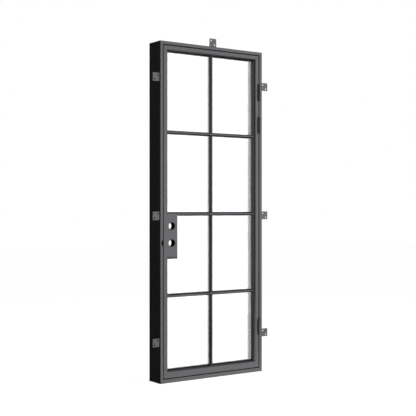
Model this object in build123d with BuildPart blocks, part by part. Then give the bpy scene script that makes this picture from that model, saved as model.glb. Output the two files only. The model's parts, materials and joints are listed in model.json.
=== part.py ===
from build123d import *
from math import atan2, copysign, degrees
import os

os.makedirs("parts", exist_ok=True)

# Driving dimensions, in millimetres
# The frame stands on z = 0, its middle is x = 0 and its mid depth is y = 0
# The front of the door looks along -y, and the hinges are on the right

frame_width = 914.4
frame_height = 2438.4
frame_depth = 152.4
lock_jamb_face = 23.0
hinge_jamb_face = 25.2
head_face = 23.0
sill_face = 29.0
frame_corner = 2.5

# Running gap round the leaf, and how far the leaf sits behind the frame's front
leaf_gap = 5.0
leaf_recess = 2.5
leaf_thickness = 50.8

# Leaf members, measured from the leaf's edge to the wall of the glazing rebate
stile_width = 38.0
top_rail_width = 34.0
bottom_rail_width = 50.7
leaf_corner = 2.0
inner_bevel = 7.5

# Glazing: depths are from the leaf's front face
glass_front_depth = 29.0
glass_thickness = 15.0
glass_edge_clearance = 2.5
bead_slope_share = 0.5
edge_bead_width = 11.0
muntin_bead_width = 9.0
muntin_web = 8.0
muntin_nose_depth = 12.5
bar_count = 3
bottom_pane_share = 0.9126

# Lock box beside the left stile, hung from the middle bar: bores go down from its top
lock_box_reach = 122.5
lock_box_height = 316.0
bore_diameter = 54.0
bore_backset = 70.0
bore_drops = (90.0, 212.0)
edge_bore_diameter = 25.4

# Half-moon strike pocket in the left jamb, level with the lower bore
strike_radius = 33.7
strike_bite = 13.5
strike_depth = 45.0

# Stops and their seals
stop_width = 20.0
stop_depth = 16.0
seal_width = 10.0
seal_thickness = 2.4
seal_clearance = 0.3
seal_inset = 4.0

# Barrel hinges: axis from the frame's right edge and in front of its face
hinge_inset = 25.5
hinge_proud = 3.0
hinge_radius = 12.5
hinge_length = 126.0
hinge_end_round = 4.0
hinge_split_gap = 0.6
hinge_swing_clearance = 1.0
low_hinge_height = 344.0
upper_hinge_drops = (556.4, 306.4)
pin_radius = 6.0
pin_fit_clearance = 0.05
pin_end_cover = 8.0

# Anchor tabs
tab_reach = 58.5
top_tab_reach = 61.0
tab_width = 60.0
tab_thickness = 3.0
tab_setback = 8.5
tab_corner = 3.0
tab_hole_diameter = 11.0
tab_hole_inset = 15.0
low_tab_height = 293.6
mid_tab_share = 0.4893
high_tab_drop = 259.5
top_tab_shift = 4.0

cut_overrun = 5.0

# Places worked out from the dimensions

half_width = frame_width / 2
front_y = -frame_depth / 2
back_y = frame_depth / 2
clear_left = -half_width + lock_jamb_face
clear_right = half_width - hinge_jamb_face
clear_top = frame_height - head_face

leaf_left = clear_left + leaf_gap
leaf_right = clear_right - leaf_gap
leaf_bottom = sill_face + leaf_gap
leaf_top = clear_top - leaf_gap
leaf_front_y = front_y + leaf_recess
leaf_back_y = leaf_front_y + leaf_thickness

rebate_left = leaf_left + stile_width
rebate_right = leaf_right - stile_width
rebate_bottom = leaf_bottom + bottom_rail_width
rebate_top = leaf_top - top_rail_width
sight_left = rebate_left + edge_bead_width
sight_right = rebate_right - edge_bead_width
sight_bottom = rebate_bottom + edge_bead_width
sight_top = rebate_top - edge_bead_width

glass_front_y = leaf_front_y + glass_front_depth
glass_back_y = glass_front_y + glass_thickness
bead_front_y = leaf_front_y + inner_bevel
bead_rise = glass_front_y - bead_front_y
bead_flare = degrees(atan2(bead_slope_share, 1))

half_web = muntin_web / 2
half_bar = half_web + muntin_bead_width
daylight_sum = sight_top - sight_bottom - bar_count * 2 * half_bar
pane_rise = daylight_sum / (bar_count + bottom_pane_share)
bar_pitch = pane_rise + 2 * half_bar
bar_heights = [sight_top + half_bar - bar_pitch * count for count in range(1, bar_count + 1)]

lock_box_right = leaf_left + lock_box_reach
lock_box_top = bar_heights[1] + half_web
lock_box_bottom = lock_box_top - lock_box_height
bore_x = leaf_left + bore_backset
bore_heights = [lock_box_top - drop for drop in bore_drops]

axis_x = half_width - hinge_inset
axis_y = front_y - hinge_proud
hinge_heights = [low_hinge_height] + [frame_height - drop for drop in upper_hinge_drops]
side_tab_heights = {
    "low": low_tab_height,
    "mid": frame_height * mid_tab_share,
    "high": frame_height - high_tab_drop,
}


def upright(y):
    """A plane that shows x to the right and z up, and grows towards the front."""
    return Plane(origin=(0, y, 0), x_dir=(1, 0, 0), z_dir=(0, -1, 0))


def box_points(left, right, bottom, top):
    """The four corners of an upright rectangle."""
    return [(left, bottom), (right, bottom), (right, top), (left, top)]


def mitre_end(inner, outer):
    """The end points of an upright and of a level member at a 45 degree mitre."""
    run_x = outer[0] - inner[0]
    run_z = outer[1] - inner[1]
    reach = min(abs(run_x), abs(run_z))
    tip = (inner[0] + copysign(reach, run_x), inner[1] + copysign(reach, run_z))
    upright_end = [tip, outer] if abs(run_z) < abs(run_x) else [tip]
    level_end = [tip, outer] if abs(run_x) < abs(run_z) else [tip]
    return upright_end, level_end


def mitred_ring(inner, outer):
    """Outlines of the four members between two upright rectangles, by side."""
    corners = [mitre_end(near, far) for near, far in zip(inner, outer)]
    low_left, low_right, high_right, high_left = corners
    return {
        "left": [inner[0]] + low_left[0] + high_left[0][::-1] + [inner[3]],
        "right": [inner[1]] + low_right[0] + high_right[0][::-1] + [inner[2]],
        "bottom": [inner[0]] + low_left[1] + low_right[1][::-1] + [inner[1]],
        "top": [inner[3]] + high_left[1] + high_right[1][::-1] + [inner[2]],
    }


def run_plane(side, box):
    """A plane across one side of an upright box: x runs inwards and y to the back."""
    left, bottom = box[0]
    right, top = box[2]
    places = {
        "left": ((left, 0, bottom), (1, 0, 0), (0, 0, 1)),
        "right": ((right, 0, top), (-1, 0, 0), (0, 0, -1)),
        "bottom": ((right, 0, bottom), (0, 0, 1), (-1, 0, 0)),
        "top": ((left, 0, top), (0, 0, -1), (1, 0, 0)),
    }
    origin, inwards, along = places[side]
    return Plane(origin=origin, x_dir=inwards, z_dir=along)


def run_length(side, box):
    """Length of one side of an upright box."""
    along = 0 if side in ("bottom", "top") else 1
    return box[2][along] - box[0][along]


def finish(part, name):
    """Label a finished piece and write it."""
    part.label = name
    export_step(part, f"parts/{name}.step")


# Fixed frame: four mitred members

frame_inner = box_points(clear_left, clear_right, sill_face, clear_top)
frame_outer = box_points(-half_width, half_width, 0, frame_height)
frame_sides = mitred_ring(frame_inner, frame_outer)

hinge_half = (hinge_length - hinge_split_gap) / 2


def hinge_lower(height):
    """Bottom of the frame's half of a hinge barrel."""
    return height - hinge_length / 2


def hinge_upper(height):
    """Bottom of the leaf's half of a hinge barrel."""
    return height + hinge_split_gap / 2


frame_names = {
    "left": "jamb_left",
    "right": "jamb_right",
    "bottom": "sill",
    "top": "head",
}
frame_faces = {
    "left": lock_jamb_face,
    "right": hinge_jamb_face,
    "bottom": sill_face,
    "top": head_face,
}

for side, name in frame_names.items():
    with BuildPart() as member:
        with BuildSketch(run_plane(side, frame_outer)):
            with Locations((frame_faces[side] / 2, 0)):
                RectangleRounded(frame_faces[side], frame_depth, frame_corner)
        extrude(amount=run_length(side, frame_outer))
        with BuildSketch(upright(back_y)):
            with BuildLine():
                Polyline(*frame_sides[side], close=True)
            make_face()
        extrude(amount=frame_depth, mode=Mode.INTERSECT)
        if side == "left":
            with BuildSketch(upright(front_y + strike_depth)):
                with Locations((clear_left - strike_bite + strike_radius, bore_heights[1])):
                    Circle(strike_radius)
            extrude(amount=strike_depth + cut_overrun, mode=Mode.SUBTRACT)
        if side == "right":
            for height in hinge_heights:
                with BuildSketch(Plane.XY.offset(hinge_lower(height))):
                    with Locations((axis_x, axis_y)):
                        Circle(hinge_radius)
                extrude(amount=hinge_half, mode=Mode.SUBTRACT)
                with BuildSketch(Plane.XY.offset(height - hinge_split_gap / 2)):
                    with Locations((axis_x, axis_y)):
                        Circle(hinge_radius + hinge_swing_clearance)
                extrude(
                    amount=hinge_length / 2 + hinge_split_gap / 2 + hinge_swing_clearance,
                    mode=Mode.SUBTRACT,
                )
    finish(member.part, name)

# Stops behind the leaf, and the seals that the leaf closes on

stop_front_y = leaf_back_y + seal_clearance + seal_thickness
stop_inner = box_points(
    clear_left + stop_width,
    clear_right - stop_width,
    sill_face + stop_width,
    clear_top - stop_width,
)
stop_sides = mitred_ring(stop_inner, frame_inner)
seal_outer = box_points(
    clear_left + stop_width - seal_inset - seal_width,
    clear_right - stop_width + seal_inset + seal_width,
    sill_face + stop_width - seal_inset - seal_width,
    clear_top - stop_width + seal_inset + seal_width,
)
seal_inner = box_points(
    clear_left + stop_width - seal_inset,
    clear_right - stop_width + seal_inset,
    sill_face + stop_width - seal_inset,
    clear_top - stop_width + seal_inset,
)
seal_sides = mitred_ring(seal_inner, seal_outer)

for side in ("left", "right", "bottom", "top"):
    with BuildPart() as stop:
        with BuildSketch(upright(stop_front_y + stop_depth)):
            with BuildLine():
                Polyline(*stop_sides[side], close=True)
            make_face()
        extrude(amount=stop_depth)
    finish(stop.part, f"stop_{side}")
    with BuildPart() as seal:
        with BuildSketch(run_plane(side, seal_outer)):
            with BuildLine():
                Line((0, stop_front_y), (seal_width, stop_front_y))
                ThreePointArc(
                    (seal_width, stop_front_y),
                    (seal_width / 2, stop_front_y - seal_thickness),
                    (0, stop_front_y),
                )
            make_face()
        extrude(amount=run_length(side, seal_outer))
        with BuildSketch(upright(stop_front_y)):
            with BuildLine():
                Polyline(*seal_sides[side], close=True)
            make_face()
        extrude(amount=seal_thickness, mode=Mode.INTERSECT)
    finish(seal.part, f"seal_{side}")

# Anchor tabs: plates edge-on against the outside of the frame

tab_plane = upright(front_y + tab_setback + tab_thickness)
tab_places = {"top": (top_tab_shift, frame_height + top_tab_reach / 2)}
for level, height in side_tab_heights.items():
    tab_places[f"left_{level}"] = (-half_width - tab_reach / 2, height)
    tab_places[f"right_{level}"] = (half_width + tab_reach / 2, height)

for place, middle in tab_places.items():
    along_x = tab_width if place == "top" else tab_reach
    along_z = top_tab_reach if place == "top" else tab_width
    lean = 1 if place.startswith("left") else -1
    hole_x = along_x / 2 - tab_hole_inset
    hole_z = along_z / 2 - tab_hole_inset
    with BuildPart() as tab:
        with BuildSketch(tab_plane):
            with Locations(middle):
                Rectangle(along_x, along_z)
        extrude(amount=tab_thickness)
        if place == "top":
            free_edges = tab.edges().filter_by(Axis.Y).group_by(Axis.Z)[-1]
        elif place.startswith("left"):
            free_edges = tab.edges().filter_by(Axis.Y).group_by(Axis.X)[0]
        else:
            free_edges = tab.edges().filter_by(Axis.Y).group_by(Axis.X)[-1]
        fillet(free_edges, radius=tab_corner)
        with BuildSketch(tab_plane):
            with Locations(
                (middle[0] + hole_x, middle[1] + lean * hole_z),
                (middle[0] - hole_x, middle[1] - lean * hole_z),
            ):
                Circle(tab_hole_diameter / 2)
        extrude(amount=tab_thickness, mode=Mode.SUBTRACT)
    finish(tab.part, f"tab_{place}")

# Leaf: mitred stiles and rails with a bevelled inner edge and a glazing leg behind

leaf_outer = box_points(leaf_left, leaf_right, leaf_bottom, leaf_top)
sight = box_points(sight_left, sight_right, sight_bottom, sight_top)
leaf_sides = mitred_ring(sight, leaf_outer)
leg_thickness = leaf_back_y - glass_back_y

# The lock box's own glazing leg takes the place of the stile's leg beside it
lock_leg = box_points(
    rebate_left,
    lock_box_right + edge_bead_width,
    lock_box_bottom - edge_bead_width,
    bar_heights[1] + half_bar,
)

leaf_names = {
    "left": "stile_left",
    "right": "stile_right",
    "bottom": "rail_bottom",
    "top": "rail_top",
}
member_widths = {
    "left": stile_width,
    "right": stile_width,
    "bottom": bottom_rail_width,
    "top": top_rail_width,
}

for side, name in leaf_names.items():
    width = member_widths[side]
    with BuildPart() as member:
        with BuildSketch(run_plane(side, leaf_outer)) as section:
            with BuildLine():
                Polyline(
                    (0, leaf_front_y),
                    (width - inner_bevel, leaf_front_y),
                    (width, bead_front_y),
                    (width, glass_back_y),
                    (width + edge_bead_width, glass_back_y),
                    (width + edge_bead_width, leaf_back_y),
                    (0, leaf_back_y),
                    close=True,
                )
            make_face()
            fillet(section.vertices().group_by(Axis.X)[0], radius=leaf_corner)
        extrude(amount=run_length(side, leaf_outer))
        with BuildSketch(upright(leaf_back_y)):
            with BuildLine():
                Polyline(*leaf_sides[side], close=True)
            make_face()
        extrude(amount=leaf_thickness, mode=Mode.INTERSECT)
        if side == "left":
            with BuildSketch(upright(leaf_back_y)):
                with BuildLine():
                    Polyline(*lock_leg, close=True)
                make_face()
            extrude(amount=leg_thickness, mode=Mode.SUBTRACT)
            with BuildSketch(Plane.YZ.offset(leaf_left)):
                with Locations(*[((leaf_front_y + leaf_back_y) / 2, z) for z in bore_heights]):
                    Circle(edge_bore_diameter / 2)
            extrude(amount=stile_width, mode=Mode.SUBTRACT)
        if side == "right":
            for height in hinge_heights:
                with BuildSketch(Plane.XY.offset(hinge_upper(height))):
                    with Locations((axis_x, axis_y)):
                        Circle(hinge_radius)
                extrude(amount=hinge_half, mode=Mode.SUBTRACT)
                with BuildSketch(Plane.XY.offset(hinge_lower(height) - hinge_swing_clearance)):
                    with Locations((axis_x, axis_y)):
                        Circle(hinge_radius + hinge_swing_clearance)
                extrude(
                    amount=hinge_length / 2 + hinge_split_gap / 2 + hinge_swing_clearance,
                    mode=Mode.SUBTRACT,
                )
    finish(member.part, name)

# Lock box: fills the stile's bevel, carries the bevel round its own free edges

with BuildPart() as lock_box:
    with BuildSketch(Plane.XY.offset(lock_box_bottom)):
        with BuildLine():
            Polyline(
                (rebate_left - inner_bevel, leaf_front_y),
                (lock_box_right, leaf_front_y),
                (lock_box_right, glass_back_y),
                (rebate_left, glass_back_y),
                (rebate_left, bead_front_y),
                close=True,
            )
        make_face()
    extrude(amount=lock_box_top - lock_box_bottom)
    face_edges = lock_box.faces().sort_by(Axis.Y)[0].edges()
    low_edge = face_edges.filter_by(Axis.X).sort_by(Axis.Z)[0]
    right_edge = face_edges.filter_by(Axis.Z).sort_by(Axis.X)[-1]
    chamfer([low_edge, right_edge], length=inner_bevel)
    with BuildSketch(upright(leaf_back_y)):
        with BuildLine():
            Polyline(*lock_leg, close=True)
        make_face()
    extrude(amount=leg_thickness)
    with BuildSketch(upright(leaf_back_y)):
        with Locations(*[(bore_x, z) for z in bore_heights]):
            Circle(bore_diameter / 2)
    extrude(amount=leaf_thickness, mode=Mode.SUBTRACT)
    with BuildSketch(Plane.YZ.offset(rebate_left)):
        with Locations(*[((leaf_front_y + leaf_back_y) / 2, z) for z in bore_heights]):
            Circle(edge_bore_diameter / 2)
    extrude(amount=bore_x - rebate_left, mode=Mode.SUBTRACT)
finish(lock_box.part, "lock_box")

# Muntins: T bars, a web with its nose to the front and a flange behind the glass

web_front_y = leaf_front_y + muntin_nose_depth
web_length = glass_back_y - web_front_y

with BuildPart() as muntin_upright:
    with BuildSketch(upright(glass_back_y)):
        with BuildLine():
            Polyline(*box_points(-half_web, half_web, rebate_bottom, rebate_top), close=True)
        make_face()
    extrude(amount=web_length)
    with BuildSketch(upright(leaf_back_y)):
        with BuildLine():
            Polyline(*box_points(-half_bar, half_bar, sight_bottom, sight_top), close=True)
        make_face()
    extrude(amount=leg_thickness)
finish(muntin_upright.part, "muntin_upright")

row_names = ("high", "mid", "low")
for row, z in zip(row_names, bar_heights):
    web_start = lock_box_right if row == "mid" else rebate_left
    web_spans = {"left": (web_start, -half_web), "right": (half_web, rebate_right)}
    leg_start = web_start + edge_bead_width
    leg_spans = {"left": (leg_start, -half_bar), "right": (half_bar, sight_right)}
    for side in ("left", "right"):
        with BuildPart() as bar:
            with BuildSketch(upright(glass_back_y)):
                with BuildLine():
                    Polyline(*box_points(*web_spans[side], z - half_web, z + half_web), close=True)
                make_face()
            extrude(amount=web_length)
            with BuildSketch(upright(leaf_back_y)):
                with BuildLine():
                    Polyline(*box_points(*leg_spans[side], z - half_bar, z + half_bar), close=True)
                make_face()
            extrude(amount=leg_thickness)
        finish(bar.part, f"muntin_{row}_{side}")

# Panes and beads: each bead is a ring with a face that slopes in to the glass

pane_tops = [rebate_top] + [z - half_web for z in bar_heights]
pane_bottoms = [z + half_web for z in bar_heights] + [rebate_bottom]
sight_tops = [sight_top] + [z - half_bar for z in bar_heights]
sight_bottoms = [z + half_bar for z in bar_heights] + [sight_bottom]
pane_columns = {"left": (rebate_left, -half_web), "right": (half_web, rebate_right)}
sight_columns = {"left": (sight_left, -half_bar), "right": (half_bar, sight_right)}
lock_row = 2


def pane_outline(columns, side, bottom, top, notch_right, notch_bottom):
    """Outline of one pane's opening, with the lock box's corner left out where it is."""
    left, right = columns[side]
    if notch_right is None:
        return box_points(left, right, bottom, top)
    return [
        (left, bottom),
        (right, bottom),
        (right, top),
        (notch_right, top),
        (notch_right, notch_bottom),
        (left, notch_bottom),
    ]


for row in range(len(pane_tops)):
    for side in ("left", "right"):
        notched = row == lock_row and side == "left"
        box_edge = lock_box_right if notched else None
        sight_edge = lock_box_right + edge_bead_width if notched else None
        opening = pane_outline(
            pane_columns, side, pane_bottoms[row], pane_tops[row], box_edge, lock_box_bottom
        )
        daylight = pane_outline(
            sight_columns,
            side,
            sight_bottoms[row],
            sight_tops[row],
            sight_edge,
            lock_box_bottom - edge_bead_width,
        )
        with BuildPart() as bead:
            with BuildSketch(upright(glass_front_y)):
                with BuildLine():
                    Polyline(*opening, close=True)
                make_face()
            extrude(amount=bead_rise)
            with BuildSketch(upright(glass_front_y)):
                with BuildLine():
                    Polyline(*daylight, close=True)
                make_face()
            extrude(amount=bead_rise, taper=-bead_flare, mode=Mode.SUBTRACT)
        finish(bead.part, f"bead_{row + 1}_{side}")
        with BuildPart() as pane:
            with BuildSketch(upright(glass_back_y)):
                with BuildLine():
                    Polyline(*opening, close=True)
                make_face()
                offset(amount=-glass_edge_clearance, kind=Kind.INTERSECTION, mode=Mode.REPLACE)
            extrude(amount=glass_thickness)
        finish(pane.part, f"pane_{row + 1}_{side}")

# Hinges: a frame knuckle with its pin, and a leaf knuckle that turns on the pin

for number, height in enumerate(hinge_heights, start=1):
    base = hinge_lower(height)
    with BuildPart() as frame_knuckle:
        with BuildSketch(Plane.XY.offset(base)):
            with Locations((axis_x, axis_y)):
                Circle(hinge_radius)
        extrude(amount=hinge_half)
        round_edge = frame_knuckle.edges().filter_by(GeomType.CIRCLE).sort_by(Axis.Z)[0]
        fillet(round_edge, radius=hinge_end_round)
        with BuildSketch(Plane.XY.offset(base + pin_end_cover)):
            with Locations((axis_x, axis_y)):
                Circle(pin_radius)
        extrude(amount=hinge_half, mode=Mode.SUBTRACT)
    finish(frame_knuckle.part, f"hinge_{number}_frame_knuckle")
    with BuildPart() as leaf_knuckle:
        with BuildSketch(Plane.XY.offset(hinge_upper(height))):
            with Locations((axis_x, axis_y)):
                Circle(hinge_radius)
        extrude(amount=hinge_half)
        round_edge = leaf_knuckle.edges().filter_by(GeomType.CIRCLE).sort_by(Axis.Z)[-1]
        fillet(round_edge, radius=hinge_end_round)
        with BuildSketch(Plane.XY.offset(hinge_upper(height))):
            with Locations((axis_x, axis_y)):
                Circle(pin_radius + pin_fit_clearance)
        extrude(amount=hinge_half - pin_end_cover, mode=Mode.SUBTRACT)
    finish(leaf_knuckle.part, f"hinge_{number}_leaf_knuckle")
    with BuildPart() as pin:
        with BuildSketch(Plane.XY.offset(base + pin_end_cover)):
            with Locations((axis_x, axis_y)):
                Circle(pin_radius)
        extrude(amount=hinge_length - 2 * pin_end_cover - hinge_swing_clearance)
    finish(pin.part, f"hinge_{number}_pin")
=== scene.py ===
import json
import logging
import math
from dataclasses import dataclass, field
from enum import Enum
from typing import Any, Iterable, Sequence, Union

import bmesh
import bpy
from mathutils import Matrix, Vector


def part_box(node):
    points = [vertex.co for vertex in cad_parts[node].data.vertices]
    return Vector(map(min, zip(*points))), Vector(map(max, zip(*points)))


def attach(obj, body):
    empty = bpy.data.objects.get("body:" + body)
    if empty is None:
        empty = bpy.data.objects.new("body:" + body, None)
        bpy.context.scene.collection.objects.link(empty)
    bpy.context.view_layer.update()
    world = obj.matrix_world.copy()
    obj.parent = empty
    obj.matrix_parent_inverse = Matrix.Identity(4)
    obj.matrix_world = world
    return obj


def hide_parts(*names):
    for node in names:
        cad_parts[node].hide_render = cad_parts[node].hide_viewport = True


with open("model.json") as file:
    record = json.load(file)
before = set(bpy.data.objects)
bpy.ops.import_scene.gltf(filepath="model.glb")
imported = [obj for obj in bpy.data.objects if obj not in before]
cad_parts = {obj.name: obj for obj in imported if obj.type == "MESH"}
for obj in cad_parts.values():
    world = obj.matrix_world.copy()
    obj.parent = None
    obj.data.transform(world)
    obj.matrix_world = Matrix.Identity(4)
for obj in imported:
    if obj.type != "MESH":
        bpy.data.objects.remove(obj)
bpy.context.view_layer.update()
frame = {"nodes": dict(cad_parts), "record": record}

# The looks of a steel and glass door in its frame. Lengths are in metres.
LOG = logging.getLogger("steel_door")

Colour = tuple[float, float, float]
Place = tuple[float, float, float]
Value = Union["Sock", float, Sequence[float]]

WHITE: Colour = (1.0, 1.0, 1.0)
UP: Place = (0.0, 0.0, 1.0)
DOWN: Place = (0.0, 0.0, -1.0)
RIGHT: Place = (1.0, 0.0, 0.0)
BACK: Place = (0.0, 1.0, 0.0)
MM_PER_METRE = 1000.0
CARD_UV = "card"


class Body(Enum):
    """The two bodies that pieces ride on."""

    FRAME = "frame"
    LEAF = "leaf"


class Slot(Enum):
    """The names of two of the record's material slots."""

    PAINT = "painted_steel"
    GLASS = "glass"


class Axis(Enum):
    """The parts of a vector, by the names of their sockets."""

    X = "X"
    Y = "Y"
    Z = "Z"


class Side(Enum):
    """The two sides of a hinge's axis, as signs across the door."""

    LEFT = -1
    RIGHT = 1


class Sock:
    """One output socket, with Python's operators as Math nodes."""

    def __init__(
        self, shader: "Shader", socket: bpy.types.NodeSocket | None
    ) -> None:
        """Keep the socket, if there is one, and the shader that it belongs to."""
        self.shader = shader
        self.socket = socket

    def _math(self, operation: str, first: Value, second: Value) -> "Sock":
        """Add one Math node.

        Args:
            operation: The Math node's operation.
            first: The first value or link.
            second: The second value or link.

        Returns:
            The node's result.
        """
        return self.shader.add(
            "ShaderNodeMath", {"operation": operation}, {0: first, 1: second}
        )

    def __add__(self, other: Value) -> "Sock":
        """Sum of two values."""
        return self._math("ADD", self, other)

    def __radd__(self, other: Value) -> "Sock":
        """Sum with a number on the left."""
        return self._math("ADD", other, self)

    def __sub__(self, other: Value) -> "Sock":
        """Difference of two values."""
        return self._math("SUBTRACT", self, other)

    def __rsub__(self, other: Value) -> "Sock":
        """Difference from a number on the left."""
        return self._math("SUBTRACT", other, self)

    def __mul__(self, other: Value) -> "Sock":
        """Product of two values."""
        return self._math("MULTIPLY", self, other)

    def __rmul__(self, other: Value) -> "Sock":
        """Product with a number on the left."""
        return self._math("MULTIPLY", other, self)

    def __pow__(self, other: Value) -> "Sock":
        """The value raised to a power."""
        return self._math("POWER", self, other)

    def __or__(self, other: Value) -> "Sock":
        """The larger of two values."""
        return self._math("MAXIMUM", self, other)

    def below(self, other: Value) -> "Sock":
        """One where the value is under another."""
        return self._math("LESS_THAN", self, other)

    def capped(self, limit: float = 1.0) -> "Sock":
        """The value, or the limit where it is larger."""
        return self._math("MINIMUM", self, limit)


@dataclass(frozen=True)
class Grain:
    """A noise: features in a metre, octaves, and how strong the finer ones are."""

    scale: float
    detail: float
    rough: float = 0.5


@dataclass(frozen=True)
class Relief:
    """A bump: how much of it shows, and the height of a full step in metres."""

    strength: float
    height: float


@dataclass(frozen=True)
class Span:
    """A low and a high value with everything between them."""

    low: float
    high: float

    def at(self, share: Sock) -> Sock:
        """The value at a share of the way from low to high."""
        return self.low + share * (self.high - self.low)


def rgba(colour: Colour) -> tuple[float, float, float, float]:
    """The colour with full alpha."""
    return (*colour, 1.0)


class Shader:
    """A node tree that is filled through one method."""

    # Numbers of the Mix node's colour sockets, which share names with others
    MIX_FIRST = 6
    MIX_SECOND = 7
    MIX_RESULT = 2

    def __init__(self, tree: bpy.types.NodeTree) -> None:
        """Empty the tree and keep it."""
        self.tree = tree
        tree.nodes.clear()

    def add(
        self,
        kind: str,
        settings: dict[str, Any] | None = None,
        inputs: dict[Union[str, int], Value] | None = None,
        out: Union[str, int] = 0,
    ) -> Sock:
        """Add one node.

        Args:
            kind: The node's type.
            settings: Its settings, which are set first.
            inputs: Its sockets' values or links, by name or number.
            out: The output that is handed back.

        Returns:
            The chosen output, which is empty for a node without outputs.
        """
        node = self.tree.nodes.new(kind)
        for name, setting in (settings or {}).items():
            setattr(node, name, setting)
        for name, value in (inputs or {}).items():
            if isinstance(value, Sock):
                self.tree.links.new(value.socket, node.inputs[name])
            else:
                node.inputs[name].default_value = value
        return Sock(self, node.outputs[out]) if node.outputs else Sock(self, None)

    def place(self) -> Sock:
        """The point's object coordinates."""
        return self.add("ShaderNodeTexCoord", out="Object")

    def part(self, vector: Sock, axis: Axis) -> Sock:
        """One part of a vector.

        Args:
            vector: The vector.
            axis: The part to take.

        Returns:
            The part's value.
        """
        return self.add(
            "ShaderNodeSeparateXYZ", inputs={"Vector": vector}, out=axis.value
        )

    def noise(self, grain: Grain) -> Sock:
        """Noise on object coordinates, about 0.5 on average."""
        return self.add(
            "ShaderNodeTexNoise",
            inputs={
                "Vector": self.place(),
                "Scale": grain.scale,
                "Detail": grain.detail,
                "Roughness": grain.rough,
            },
        )

    def blend(self, factor: Value, first: Value, second: Value) -> Sock:
        """Mix two colours.

        Args:
            factor: The second colour's share.
            first: The first colour.
            second: The second colour.

        Returns:
            The mixed colour.
        """
        return self.add(
            "ShaderNodeMix",
            {"data_type": "RGBA"},
            {"Factor": factor, self.MIX_FIRST: first, self.MIX_SECOND: second},
            out=self.MIX_RESULT,
        )

    def tones(self, factor: Value, dark: Colour, light: Colour) -> Sock:
        """Mix a finish's dark and light tones.

        Args:
            factor: The light tone's share.
            dark: The dark tone.
            light: The light tone.

        Returns:
            The mixed colour.
        """
        return self.blend(factor, rgba(dark), rgba(light))

    def bump(self, height: Value, relief: Relief) -> Sock:
        """A bump normal.

        Args:
            height: The height to follow.
            relief: How strong and how high the bump is.

        Returns:
            The bumped normal.
        """
        return self.add(
            "ShaderNodeBump",
            inputs={
                "Height": height,
                "Strength": relief.strength,
                "Distance": relief.height,
            },
        )

    def surface(self, shader: Sock) -> None:
        """Link a shader to the tree's output."""
        self.add("ShaderNodeOutputMaterial", inputs={"Surface": shader})

    def principled(self, inputs: dict[str, Value]) -> None:
        """Make a Principled shader with these inputs the surface."""
        self.surface(self.add("ShaderNodeBsdfPrincipled", inputs=inputs))


def new_material(name: str) -> tuple[bpy.types.Material, Shader]:
    """Start a material.

    Args:
        name: The material's name.

    Returns:
        The material and its empty shader.
    """
    material = bpy.data.materials.new(name)
    material.use_nodes = True
    return material, Shader(material.node_tree)


@dataclass(frozen=True)
class Bore:
    """A bore through the leaf: its place across, height and radius, in metres."""

    across: float
    height: float
    radius: float

    def mask(self, shader: Shader) -> Sock:
        """One inside the bore and on its wall, where shade is painted.

        Args:
            shader: The node tree to add to.

        Returns:
            The mask.
        """
        point = shader.place()
        side = shader.part(point, Axis.X) - self.across
        rise = shader.part(point, Axis.Z) - self.height
        return (side * side + rise * rise).below(self.radius * self.radius)


def lock_bores(slack: float = 0.0006) -> tuple[Bore, ...]:
    """The lock box's bores, read from the record's mounts.

    Args:
        slack: How far past the wall the painted shade reaches, in metres.

    Returns:
        The bores.
    """
    return tuple(
        Bore(
            across=mount["pos_m"][0],
            height=mount["pos_m"][2],
            radius=mount["dims"]["r_mm"] / MM_PER_METRE + slack,
        )
        for mount in frame["record"]["mounts"]
        if mount["name"].startswith("lock_bore")
    )


@dataclass(frozen=True)
class SatinPaint:
    """Black powder coat on steel: faint mottling and a fine orange peel."""

    name: str
    dark: Colour = (0.0285, 0.0258, 0.0300)
    light: Colour = (0.0385, 0.0350, 0.0405)
    gloss: Span = Span(0.27, 0.35)
    sheen: float = 0.5
    cloud: Grain = Grain(9.0, 3.0)
    cloud_share: float = 0.6
    speck: Grain = Grain(420.0, 2.0)
    peel: Grain = Grain(260.0, 3.0, 0.55)
    peel_relief: Relief = Relief(0.10, 0.0002)
    # The bores' walls get a near-black colour and a dull finish: painted shade inside
    # them.
    shaded_bores: tuple[Bore, ...] = ()
    bore_shade_colour: Colour = (0.0015, 0.0015, 0.0016)
    bore_shade_rough: float = 0.85

    def make(self) -> bpy.types.Material:
        """Build the paint's material, with painted shade, near black and dull, inside
        the named bores.
        """
        material, shader = new_material(self.name)
        cloud = shader.noise(self.cloud)
        speck = shader.noise(self.speck)
        mottled = cloud * self.cloud_share + speck * (1.0 - self.cloud_share)
        colour = shader.tones(mottled, self.dark, self.light)
        rough = self.gloss.at(mottled)
        # Painted shade: the bores' walls turn near black and dull.
        for bore in self.shaded_bores:
            inside = bore.mask(shader)
            colour = shader.blend(inside, colour, rgba(self.bore_shade_colour))
            rough = rough + inside * (self.bore_shade_rough - self.gloss.low)
        shader.principled(
            {
                "Base Color": colour,
                "Roughness": rough,
                "Specular IOR Level": self.sheen,
                "Normal": shader.bump(shader.noise(self.peel), self.peel_relief),
            }
        )
        return material


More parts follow.
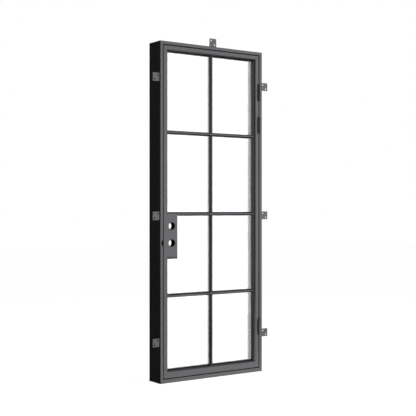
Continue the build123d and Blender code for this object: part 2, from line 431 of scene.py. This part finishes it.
@dataclass(frozen=True)
class ClearGlass:
    """Clear float glass: a mirror on each face that grows towards edge-on."""

    name: str
    tint: Colour = (0.946, 0.951, 0.949)
    mirror_face_on: float = 0.058
    mirror_edge_on: float = 0.6
    mirror_growth: float = 5.0
    mirror_rough: float = 0.03
    slant_blend: float = 0.5
    film: Grain = Grain(3.0, 2.0)
    film_share: float = 0.002

    def make(self) -> bpy.types.Material:
        """Build the glass's material."""
        material, shader = new_material(self.name)
        slant = shader.add(
            "ShaderNodeLayerWeight", inputs={"Blend": self.slant_blend}, out="Facing"
        )
        film = shader.noise(self.film) * self.film_share
        mirrored = Span(self.mirror_face_on, self.mirror_edge_on)
        share = mirrored.at(slant**self.mirror_growth) + film
        clear = shader.add(
            "ShaderNodeBsdfTransparent", inputs={"Color": rgba(self.tint)}
        )
        mirror = shader.add(
            "ShaderNodeBsdfGlossy",
            inputs={"Color": rgba(WHITE), "Roughness": self.mirror_rough},
        )
        shader.surface(
            shader.add("ShaderNodeMixShader", inputs={0: share, 1: clear, 2: mirror})
        )
        return material


@dataclass(frozen=True)
class SealRubber:
    """Black sealing rubber, dull and finely pitted."""

    name: str
    dark: Colour = (0.006, 0.006, 0.006)
    light: Colour = (0.014, 0.014, 0.015)
    rough: Span = Span(0.62, 0.82)
    sheen: float = 0.35
    dust: Grain = Grain(60.0, 4.0)
    pits: Grain = Grain(900.0, 2.0)
    pit_relief: Relief = Relief(0.25, 0.0002)

    def make(self) -> bpy.types.Material:
        """Build the rubber's material."""
        material, shader = new_material(self.name)
        dust = shader.noise(self.dust)
        pits = shader.noise(self.pits)
        shader.principled(
            {
                "Base Color": shader.tones(dust, self.dark, self.light),
                "Roughness": self.rough.at(dust),
                "Specular IOR Level": self.sheen,
                "Normal": shader.bump(pits, self.pit_relief),
            }
        )
        return material


@dataclass(frozen=True)
class TurnedSteel:
    """Bare turned steel with fine rings from the lathe and a film of grease."""

    name: str
    dark: Colour = (0.20, 0.20, 0.205)
    light: Colour = (0.38, 0.375, 0.37)
    rough: Span = Span(0.28, 0.42)
    film: Grain = Grain(40.0, 3.0)
    ring_scale: float = 600.0
    ring_wobble: float = 1.5
    ring_relief: Relief = Relief(0.15, 0.0001)

    def make(self) -> bpy.types.Material:
        """Build the steel's material."""
        material, shader = new_material(self.name)
        rings = shader.add(
            "ShaderNodeTexWave",
            {"wave_type": "BANDS", "bands_direction": "Z"},
            {
                "Vector": shader.place(),
                "Scale": self.ring_scale,
                "Distortion": self.ring_wobble,
            },
            out="Fac",
        )
        film = shader.noise(self.film)
        shader.principled(
            {
                "Base Color": shader.tones(film, self.dark, self.light),
                "Metallic": 1.0,
                "Roughness": self.rough.at(rings),
                "Normal": shader.bump(rings, self.ring_relief),
            }
        )
        return material


@dataclass(frozen=True)
class SpacerBar:
    """Pale spacer between the two sheets of a sealed unit, with fine pin holes."""

    name: str
    dark: Colour = (0.80, 0.79, 0.80)
    light: Colour = (0.90, 0.89, 0.90)
    rough: Span = Span(0.55, 0.70)
    scuff: Grain = Grain(80.0, 3.0)
    holes_per_metre: float = 250.0
    hole_reach: float = 0.15
    # Near-black colour in the pin holes: painted shade inside them.
    hole_shade_colour: Colour = (0.05, 0.05, 0.05)
    hole_relief: Relief = Relief(0.3, 0.0003)

    def make(self) -> bpy.types.Material:
        """Build the spacer's material."""
        material, shader = new_material(self.name)
        cells = shader.add(
            "ShaderNodeTexVoronoi",
            {"feature": "F1"},
            {
                "Vector": shader.place(),
                "Scale": self.holes_per_metre,
                "Randomness": 0.0,
            },
        )
        # The pin holes get a near-black colour, which is painted shade inside the
        # holes, and a bump.
        pin_hole = cells.below(self.hole_reach)
        scuff = shader.noise(self.scuff)
        metal = shader.tones(scuff, self.dark, self.light)
        shader.principled(
            {
                "Base Color": shader.blend(pin_hole, metal, rgba(self.hole_shade_colour)),
                "Roughness": self.rough.at(scuff),
                "Normal": shader.bump(1.0 - pin_hole, self.hole_relief),
            }
        )
        return material


@dataclass(frozen=True)
class WeldMetal:
    """Weld bead under the paint: the same black, with a coarser grain."""

    name: str
    dark: Colour = (0.024, 0.023, 0.025)
    light: Colour = (0.040, 0.038, 0.041)
    rough: Span = Span(0.42, 0.58)
    soot: Grain = Grain(120.0, 2.0)
    spatter: Grain = Grain(700.0, 3.0, 0.6)
    spatter_relief: Relief = Relief(0.35, 0.0003)

    def make(self) -> bpy.types.Material:
        """Build the weld's material."""
        material, shader = new_material(self.name)
        spatter = shader.noise(self.spatter)
        soot = shader.noise(self.soot)
        shader.principled(
            {
                "Base Color": shader.tones(soot, self.dark, self.light),
                "Roughness": self.rough.at(spatter),
                "Normal": shader.bump(spatter, self.spatter_relief),
            }
        )
        return material


PAINT = SatinPaint("satin_black_paint")
# The beads get the frame's paint with a darker base colour, which paints in the shade
# on their flanks, and a lower sheen.
SHADED_BEAD_PAINT = SatinPaint(
    "bead_coat_painted_shade",
    dark=(0.010, 0.0095, 0.0105),
    light=(0.016, 0.0155, 0.0165),
    gloss=Span(0.26, 0.33),
    sheen=0.33,
)
# The lock box's paint, with painted shade inside its bores.
LOCK_PAINT = SatinPaint("lock_box_black_paint", shaded_bores=lock_bores())


@dataclass
class Finishes:
    """Every finish on the door, built once."""

    paint: bpy.types.Material = field(default_factory=PAINT.make)
    shaded_bead_paint: bpy.types.Material = field(default_factory=SHADED_BEAD_PAINT.make)
    lock_paint: bpy.types.Material = field(default_factory=LOCK_PAINT.make)
    weld: bpy.types.Material = field(default_factory=WeldMetal("painted_weld").make)
    spacer: bpy.types.Material = field(default_factory=SpacerBar("unit_spacer").make)
    glass: bpy.types.Material = field(default_factory=ClearGlass("clear_glass").make)
    rubber: bpy.types.Material = field(default_factory=SealRubber("seal_rubber").make)
    steel: bpy.types.Material = field(
        default_factory=TurnedSteel("turned_pin_steel").make
    )


def dress(names: Iterable[str], finish: bpy.types.Material) -> None:
    """Give solids of the frame model a finish.

    Args:
        names: The solids' names.
        finish: The material that they get.
    """
    for name in names:
        solid = frame["nodes"][name]
        if solid.material_slots:
            for place in solid.material_slots:
                place.material = finish
        else:
            solid.data.materials.append(finish)
        LOG.info("dressed %s with %s", name, finish.name)


def link(name: str, mesh: bmesh.types.BMesh) -> bpy.types.Object:
    """Turn a finished bmesh into an object.

    Args:
        name: The object's name.
        mesh: The bmesh, which is freed.

    Returns:
        The new object.
    """
    data = bpy.data.meshes.new(name)
    mesh.to_mesh(data)
    mesh.free()
    piece = bpy.data.objects.new(name, data)
    bpy.context.scene.collection.objects.link(piece)
    return piece


def join(whole: bmesh.types.BMesh, part: bmesh.types.BMesh) -> None:
    """Add a part to a bmesh.

    Args:
        whole: The bmesh to add to.
        part: The bmesh to add, which is freed.
    """
    data = bpy.data.meshes.new("part")
    part.to_mesh(data)
    part.free()
    whole.from_mesh(data)
    bpy.data.meshes.remove(data)


def fit(
    piece: bpy.types.Object, body: Body, finish: bpy.types.Material
) -> bpy.types.Object:
    """Give a new piece its finish and body.

    Args:
        piece: The new piece.
        body: The body that it rides on.
        finish: Its material.

    Returns:
        The same piece.
    """
    piece.data.materials.append(finish)
    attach(piece, body.value)
    LOG.info("built %s on the %s", piece.name, body.value)
    return piece


@dataclass(frozen=True)
class WeldBead:
    """One weld bead along a straight root: a bar with ripples and round ends."""

    start: Vector
    end: Vector
    leg: float = 0.0022
    pitch: float = 0.0026
    end_gap: float = 0.004
    sides: int = 10
    rings: int = 4
    fewest: int = 2
    ripple: float = 0.2
    end_curve: float = 0.5

    def bar(self) -> bmesh.types.BMesh:
        """The bead as a closed mesh, half of it inside the steel."""
        along = (self.end - self.start).normalized()
        length = (self.end - self.start).length - 2 * self.end_gap
        count = self.rings * max(self.fewest, round(length / self.pitch))
        stride = along * (length / count)
        middle = self.start + along * self.end_gap
        turn = along.to_track_quat("Z", "Y").to_matrix().to_4x4()
        mesh = bmesh.new()
        bmesh.ops.create_circle(
            mesh,
            segments=self.sides,
            radius=self.girth(0, count),
            matrix=Matrix.Translation(middle) @ turn,
        )
        ring = list(mesh.edges)
        for step in range(count):
            grown = bmesh.ops.extrude_edge_only(mesh, edges=ring)["geom"]
            ring = [item for item in grown if isinstance(item, bmesh.types.BMEdge)]
            verts = [item for item in grown if isinstance(item, bmesh.types.BMVert)]
            swell = self.girth(step + 1, count) / self.girth(step, count)
            bmesh.ops.scale(
                mesh,
                vec=(swell, swell, swell),
                space=Matrix.Translation(-middle),
                verts=verts,
            )
            bmesh.ops.translate(mesh, vec=stride, verts=verts)
            middle = middle + stride
        bmesh.ops.holes_fill(mesh, edges=mesh.edges, sides=self.sides)
        bmesh.ops.recalc_face_normals(mesh, faces=mesh.faces)
        return mesh

    def girth(self, step: int, count: int) -> float:
        """Radius of a bead's ring: a ripple that repeats, and round ends.

        Args:
            step: The ring's number, from 0.
            count: The last ring's number.

        Returns:
            The ring's radius, in metres.
        """
        ripple = 1.0 - self.ripple * (step % self.rings) / self.rings
        from_end = (min(step, count - step) + 1) / self.rings
        return self.leg * ripple * min(1.0, from_end) ** self.end_curve


def weld(
    name: str, beads: Iterable[WeldBead], body: Body, finish: bpy.types.Material
) -> None:
    """Lay weld beads in one piece.

    Args:
        name: The piece's name.
        beads: Its beads.
        body: The body that it rides on.
        finish: Its material.
    """
    mesh = bmesh.new()
    for bead in beads:
        join(mesh, bead.bar())
    piece = link(name, mesh)
    for face in piece.data.polygons:
        face.use_smooth = True
    fit(piece, body, finish)


@dataclass
class TabWelds:
    """Weld beads along the root of each anchor tab, on its front and back."""

    finish: bpy.types.Material
    tabs: Sequence[str]

    def build(self) -> None:
        """Lay every tab's two beads in one piece."""
        beads = [bead for name in self.tabs for bead in self.pair(name)]
        weld("tab_welds", beads, Body.FRAME, self.finish)

    @staticmethod
    def pair(name: str) -> list[WeldBead]:
        """The two beads of a tab.

        Args:
            name: The tab's name.

        Returns:
            The bead in front and the bead behind.
        """
        low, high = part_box(name)
        near, far = low.copy(), high.copy()
        if name == "tab_top":
            far.z = low.z
        else:
            near.x = far.x = high.x if "left" in name else low.x
        return [
            WeldBead(Vector((near.x, depth, near.z)), Vector((far.x, depth, far.z)))
            for depth in (low.y, high.y)
        ]


@dataclass
class HingeWelds:
    """Weld beads where the knuckles of the hinges meet the frame and the leaf."""

    finish: bpy.types.Material
    numbers: Sequence[int]

    def build(self) -> None:
        """Lay the beads of each body in one piece."""
        self.lay(Body.FRAME, "jamb_right", Side.RIGHT)
        self.lay(Body.LEAF, "stile_right", Side.LEFT)

    def lay(self, body: Body, member: str, side: Side) -> None:
        """Lay the beads of one body.

        Args:
            body: The body.
            member: The member that its knuckles are welded to.
            side: The side of the hinge's axis that the seams are on.
        """
        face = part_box(member)[0].y
        beads = [
            self.seam(f"hinge_{number}_{body.value}_knuckle", face, side)
            for number in self.numbers
        ]
        weld(f"hinge_welds_{body.value}", beads, body, self.finish)

    @staticmethod
    def seam(knuckle: str, face: float, side: Side) -> WeldBead:
        """The bead along one knuckle.

        Args:
            knuckle: The knuckle's name.
            face: Depth of the front face that it is welded to.
            side: The side of the hinge's axis that the seam is on.

        Returns:
            The bead where the barrel meets the face.
        """
        low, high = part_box(knuckle)
        axis, radius = (low + high) / 2, (high.x - low.x) / 2
        reach = math.sqrt(radius**2 - (face - axis.y) ** 2)
        across = axis.x + side.value * reach
        return WeldBead(Vector((across, face, low.z)), Vector((across, face, high.z)))


@dataclass
class SealedUnit:
    """One pane as it is made: two sheets of glass on a spacer ring."""

    node: str
    glass: bpy.types.Material
    spacer: bpy.types.Material
    sheet: float = 0.004
    arris: float = 0.0004
    spacer_reach: float = 0.0088
    merge_gap: float = 0.00001
    flat_angle: float = 0.01

    def build(self) -> None:
        """Build the sheets and the spacer in the place of the solid pane."""
        low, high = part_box(self.node)
        sheets = self.slab(low.y, low.y + self.sheet)
        join(sheets, self.slab(high.y - self.sheet, high.y))
        panes = link(f"{self.node}_sheets", sheets)
        fit(panes, Body.LEAF, self.glass)
        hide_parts(self.node)
        ring = self.ring(low.y + self.sheet, high.y - self.sheet)
        fit(link(f"{self.node}_spacer", ring), Body.LEAF, self.spacer)

    def outline(self) -> bmesh.types.BMesh:
        """The solid pane as a closed mesh of a few flat faces."""
        mesh = bmesh.new()
        mesh.from_mesh(frame["nodes"][self.node].data)
        bmesh.ops.remove_doubles(mesh, verts=mesh.verts, dist=self.merge_gap)
        bmesh.ops.dissolve_limit(
            mesh, angle_limit=self.flat_angle, verts=mesh.verts, edges=mesh.edges
        )
        return mesh

    def slab(self, front: float, back: float) -> bmesh.types.BMesh:
        """A sheet of glass with the pane's outline.

        Args:
            front: Depth of its front face.
            back: Depth of its back face.

        Returns:
            The sheet, with its sharp edges taken off.
        """
        mesh = self.outline()
        middle = sum(vert.co.y for vert in mesh.verts) / len(mesh.verts)
        fore = [vert for vert in mesh.verts if vert.co.y < middle]
        rear = [vert for vert in mesh.verts if vert.co.y > middle]
        bmesh.ops.translate(mesh, vec=(0.0, front - fore[0].co.y, 0.0), verts=fore)
        bmesh.ops.translate(mesh, vec=(0.0, back - rear[0].co.y, 0.0), verts=rear)
        bmesh.ops.bevel(
            mesh,
            geom=mesh.edges,
            offset=self.arris,
            segments=1,
            profile=0.5,
            affect="EDGES",
            material=-1,
        )
        return mesh

    def ring(self, front: float, back: float) -> bmesh.types.BMesh:
        """The spacer, a ring that follows the pane's edge.

        Args:
            front: Depth of its front.
            back: Depth of its back.

        Returns:
            The ring.
        """
        mesh = self.outline()
        face = min(mesh.faces, key=lambda side: side.normal.y)
        others = [side for side in mesh.faces if side is not face]
        bmesh.ops.delete(mesh, geom=others, context="FACES")
        ahead = front - face.calc_center_median().y
        bmesh.ops.translate(mesh, vec=(0.0, ahead, 0.0), verts=mesh.verts)
        bmesh.ops.inset_region(
            mesh,
            faces=[face],
            thickness=self.spacer_reach,
            use_even_offset=True,
            use_boundary=True,
        )
        bmesh.ops.delete(mesh, geom=[face], context="FACES")
        grown = bmesh.ops.extrude_face_region(
            mesh, geom=list(mesh.faces), use_keep_orig=True
        )
        moved = [item for item in grown["geom"] if isinstance(item, bmesh.types.BMVert)]
        bmesh.ops.translate(mesh, vec=(0.0, back - front, 0.0), verts=moved)
        bmesh.ops.recalc_face_normals(mesh, faces=mesh.faces)
        return mesh


@dataclass
class FixedFrame:
    """The steel box frame with its stops, seals and anchor tabs."""

    finishes: Finishes
    members: Sequence[str] = ("jamb_left", "jamb_right", "head", "sill")
    sides: Sequence[str] = ("left", "right", "bottom", "top")
    tab_sides: Sequence[str] = ("left", "right")
    tab_levels: Sequence[str] = ("low", "mid", "high")

    @property
    def tabs(self) -> list[str]:
        """Names of the seven anchor tabs."""
        beside = [
            f"tab_{side}_{level}"
            for side in self.tab_sides
            for level in self.tab_levels
        ]
        return ["tab_top", *beside]

    def build(self) -> None:
        """Dress the frame's solids and weld its tabs on."""
        dress(self.members, self.finishes.paint)
        dress([f"stop_{side}" for side in self.sides], self.finishes.paint)
        dress([f"seal_{side}" for side in self.sides], self.finishes.rubber)
        dress(self.tabs, self.finishes.paint)
        TabWelds(self.finishes.weld, self.tabs).build()


@dataclass
class DoorLeaf:
    """The swinging leaf: members, lock box, bars, beads and panes."""

    finishes: Finishes
    members: Sequence[str] = ("stile_left", "stile_right", "rail_bottom", "rail_top")
    rows: Sequence[int] = (1, 2, 3, 4)
    bars: Sequence[str] = ("high", "mid", "low")
    sides: Sequence[str] = ("left", "right")

    def build(self) -> None:
        """Dress the leaf's solids and glaze it."""
        dress(self.members, self.finishes.paint)
        dress(["lock_box"], self.finishes.lock_paint)
        dress(["muntin_upright"], self.finishes.paint)
        dress(self.names("muntin", self.bars), self.finishes.paint)
        dress(self.names("bead", self.rows), self.finishes.shaded_bead_paint)
        for node in self.names("pane", self.rows):
            dress([node], self.finishes.glass)
            SealedUnit(node, self.finishes.glass, self.finishes.spacer).build()

    def names(self, kind: str, levels: Iterable[Union[int, str]]) -> list[str]:
        """Names of the solids of one kind.

        Args:
            kind: The kind of solid.
            levels: The rows or bars that it is in.

        Returns:
            One name for each level and side.
        """
        return [f"{kind}_{level}_{side}" for level in levels for side in self.sides]


@dataclass
class BarrelHinges:
    """Three barrel hinges: a knuckle on the frame, a pin and a knuckle on the leaf."""

    finishes: Finishes
    numbers: Sequence[int] = (1, 2, 3)

    def build(self) -> None:
        """Dress the hinges' solids and weld the knuckles on."""
        for number in self.numbers:
            for body in Body:
                knuckle = f"hinge_{number}_{body.value}_knuckle"
                dress([knuckle], self.finishes.paint)
            dress([f"hinge_{number}_pin"], self.finishes.steel)
        HingeWelds(self.finishes.weld, self.numbers).build()


@dataclass(frozen=True)
class Flag:
    """A card with soft edges that stands in the studio for reflections alone."""

    name: str
    middle: Place
    facing: Place
    size: tuple[float, float]
    glow: float = 0.0
    firmness: float = 12.0
    weave: Grain = Grain(300.0, 2.0)
    thread: Colour = (0.98, 0.98, 0.98)

    def build(self) -> None:
        """Make the card, hidden from all but glossy rays."""
        mesh = bmesh.new()
        mesh.loops.layers.uv.new(CARD_UV)
        bmesh.ops.create_grid(mesh, x_segments=1, y_segments=1, size=0.5, calc_uvs=True)
        bmesh.ops.scale(mesh, vec=(*self.size, 1.0), verts=mesh.verts)
        turn = Vector(self.facing).to_track_quat("Z", "Y").to_matrix()
        bmesh.ops.rotate(mesh, cent=(0.0, 0.0, 0.0), matrix=turn, verts=mesh.verts)
        bmesh.ops.translate(mesh, vec=self.middle, verts=mesh.verts)
        card = link(self.name, mesh)
        card.data.materials.append(self.cloth())
        card.visible_camera = False
        card.visible_diffuse = False
        card.visible_transmission = False
        card.visible_shadow = False

    def cloth(self) -> bpy.types.Material:
        """Build the card's cloth, which fades out towards its edges."""
        material, shader = new_material(f"{self.name}_cloth")
        weave = shader.noise(self.weave)
        lit = shader.add(
            "ShaderNodeEmission",
            inputs={
                "Color": shader.tones(weave, self.thread, WHITE),
                "Strength": self.glow,
            },
        )
        gone = shader.add("ShaderNodeBsdfTransparent")
        cover = self.fade(shader, Axis.X) * self.fade(shader, Axis.Y)
        shader.surface(
            shader.add("ShaderNodeMixShader", inputs={0: cover, 1: gone, 2: lit})
        )
        return material

    def fade(self, shader: Shader, way: Axis) -> Sock:
        """How much of the cloth shows along one way of the card.

        Args:
            shader: The node tree to add to.
            way: The way across the card.

        Returns:
            One in the middle, and less towards both edges.
        """
        along = shader.part(shader.add("ShaderNodeUVMap", {"uv_map": CARD_UV}), way)
        return (along * (1.0 - along) * self.firmness).capped()


# Flags without a glow are black, and the ones with a glow are lit cards. The ones on
# the floor lie at heights of their own, a fraction of a millimetre apart.
FLAGS = (
    Flag("flag_back_left", (-2.2, 2.5, 1.3), (0.57, -0.82, 0.0), (4.6, 6.4)),
    Flag("flag_front_left", (-2.4, -2.1, 1.3), (0.75, 0.66, 0.0), (3.8, 6.4)),
    Flag("flag_floor_left", (-2.06, 1.2, 0.002), UP, (4.0, 5.6)),
    Flag("flag_floor_right", (2.175, 2.0, 0.004), UP, (4.85, 4.0), firmness=24.0),
    Flag("flag_over_right", (2.7, 1.8, 3.6), DOWN, (4.2, 4.0)),
    Flag("card_left", (-3.2, -0.25, 1.3), RIGHT, (1.7, 5.0), glow=3.9),
    Flag("card_low_front", (0.34, -0.568, 0.16), BACK, (1.25, 0.44), glow=2.95),
    Flag(
        "card_floor_sill",
        (0.265, -0.27, 0.0035),
        UP,
        (1.45, 0.64),
        glow=2.9,
        firmness=40.0,
    ),
    Flag(
        "card_floor_right",
        (1.65, -0.08, 0.0045),
        UP,
        (1.7, 0.6),
        glow=4.2,
        firmness=24.0,
    ),
    Flag("flag_over_front", (2.2, -1.85, 3.6), DOWN, (3.8, 1.5)),
    Flag("flag_floor_front_right", (2.6, -1.1, 0.0025), UP, (3.0, 2.6)),
)


@dataclass
class Studio:
    """Floor, flags, softbox, world and camera round the door."""

    camera_place: Place = (-3.860, -5.572, 1.249)
    camera_heading: Place = (0.57010, 0.82155, 0.0)
    lens: float = 78.8
    sensor: float = 36.0
    clip_end: float = 200.0
    floor_half: float = 20.0
    floor_dark: Colour = (0.60, 0.60, 0.60)
    floor_light: Colour = (0.64, 0.64, 0.64)
    floor_lift: float = 0.85
    speckle: Grain = Grain(30.0, 2.0)
    softbox_bearing: Place = (0.57, -0.82, 0.0)
    softbox_distance: float = 3.4
    softbox_height: float = 1.3
    softbox_size: tuple[float, float] = (3.2, 4.8)
    softbox_radiance: float = 2.48
    softbox_tint: Colour = (0.985, 0.958, 1.0)
    ambient: float = 0.22
    flags: Sequence[Flag] = FLAGS

    def build(self) -> None:
        """Set the whole studio up."""
        self.view_settings()
        self.world()
        self.floor()
        self.softbox()
        for flag in self.flags:
            flag.build()
        self.camera()

    @staticmethod
    def view_settings() -> None:
        """Plain view transform."""
        bpy.context.scene.view_settings.view_transform = "Standard"

    def world(self) -> None:
        """White to the camera and in reflections, soft grey as light."""
        world = bpy.data.worlds.new("studio_white")
        world.use_nodes = True
        bpy.context.scene.world = world
        shader = Shader(world.node_tree)
        strength = Span(self.ambient, 1.0).at(self.seen(shader))
        light = shader.add(
            "ShaderNodeBackground",
            inputs={"Color": rgba(WHITE), "Strength": strength},
        )
        shader.add("ShaderNodeOutputWorld", inputs={"Surface": light})

    @staticmethod
    def seen(shader: Shader) -> Sock:
        """One for rays of the camera, of gloss and of glass.

        Args:
            shader: The node tree to add to.

        Returns:
            The ray's mask.
        """
        camera = shader.add("ShaderNodeLightPath", out="Is Camera Ray")
        gloss = shader.add("ShaderNodeLightPath", out="Is Glossy Ray")
        glass = shader.add("ShaderNodeLightPath", out="Is Transmission Ray")
        return camera | gloss | glass

    def floor(self) -> None:
        """A pale floor that is white to the camera and keeps the shadow."""
        mesh = bmesh.new()
        bmesh.ops.create_grid(mesh, x_segments=2, y_segments=2, size=self.floor_half)
        floor = link("studio_floor", mesh)
        material, shader = new_material("studio_floor_white")
        speckle = shader.noise(self.speckle)
        pale = shader.add(
            "ShaderNodeBsdfDiffuse",
            inputs={"Color": shader.tones(speckle, self.floor_dark, self.floor_light)},
        )
        lift = shader.add(
            "ShaderNodeEmission",
            inputs={
                "Color": rgba(WHITE),
                "Strength": self.seen(shader) * self.floor_lift,
            },
        )
        shader.surface(shader.add("ShaderNodeAddShader", inputs={0: pale, 1: lift}))
        floor.data.materials.append(material)

    def softbox(self) -> None:
        """One large softbox in front on the right, which the front faces mirror."""
        width, height = self.softbox_size
        bearing = Vector(self.softbox_bearing)
        away = bearing.normalized() * self.softbox_distance
        light = bpy.data.lights.new("softbox", "AREA")
        light.shape = "RECTANGLE"
        light.size = width
        light.size_y = height
        light.color = self.softbox_tint
        light.energy = self.softbox_radiance * math.pi * width * height
        lamp = bpy.data.objects.new("softbox", light)
        lamp.location = away + Vector((0.0, 0.0, self.softbox_height))
        lamp.rotation_euler = (-bearing).to_track_quat("-Z", "Y").to_euler()
        lamp.visible_camera = False
        bpy.context.scene.collection.objects.link(lamp)

    def camera(self) -> None:
        """The photograph's viewpoint."""
        heading = Vector(self.camera_heading)
        lens = bpy.data.cameras.new("camera")
        lens.lens = self.lens
        lens.sensor_width = self.sensor
        lens.clip_end = self.clip_end
        camera = bpy.data.objects.new("camera", lens)
        camera.location = self.camera_place
        camera.rotation_euler = heading.to_track_quat("-Z", "Y").to_euler()
        bpy.context.scene.collection.objects.link(camera)
        bpy.context.scene.camera = camera


def main() -> None:
    """Build the door's looks and the studio in order."""
    logging.basicConfig(level=logging.INFO, format="%(name)s: %(message)s")
    finishes = Finishes()
    FixedFrame(finishes).build()
    DoorLeaf(finishes).build()
    BarrelHinges(finishes).build()
    Studio().build()


if __name__ == "__main__":
    main()
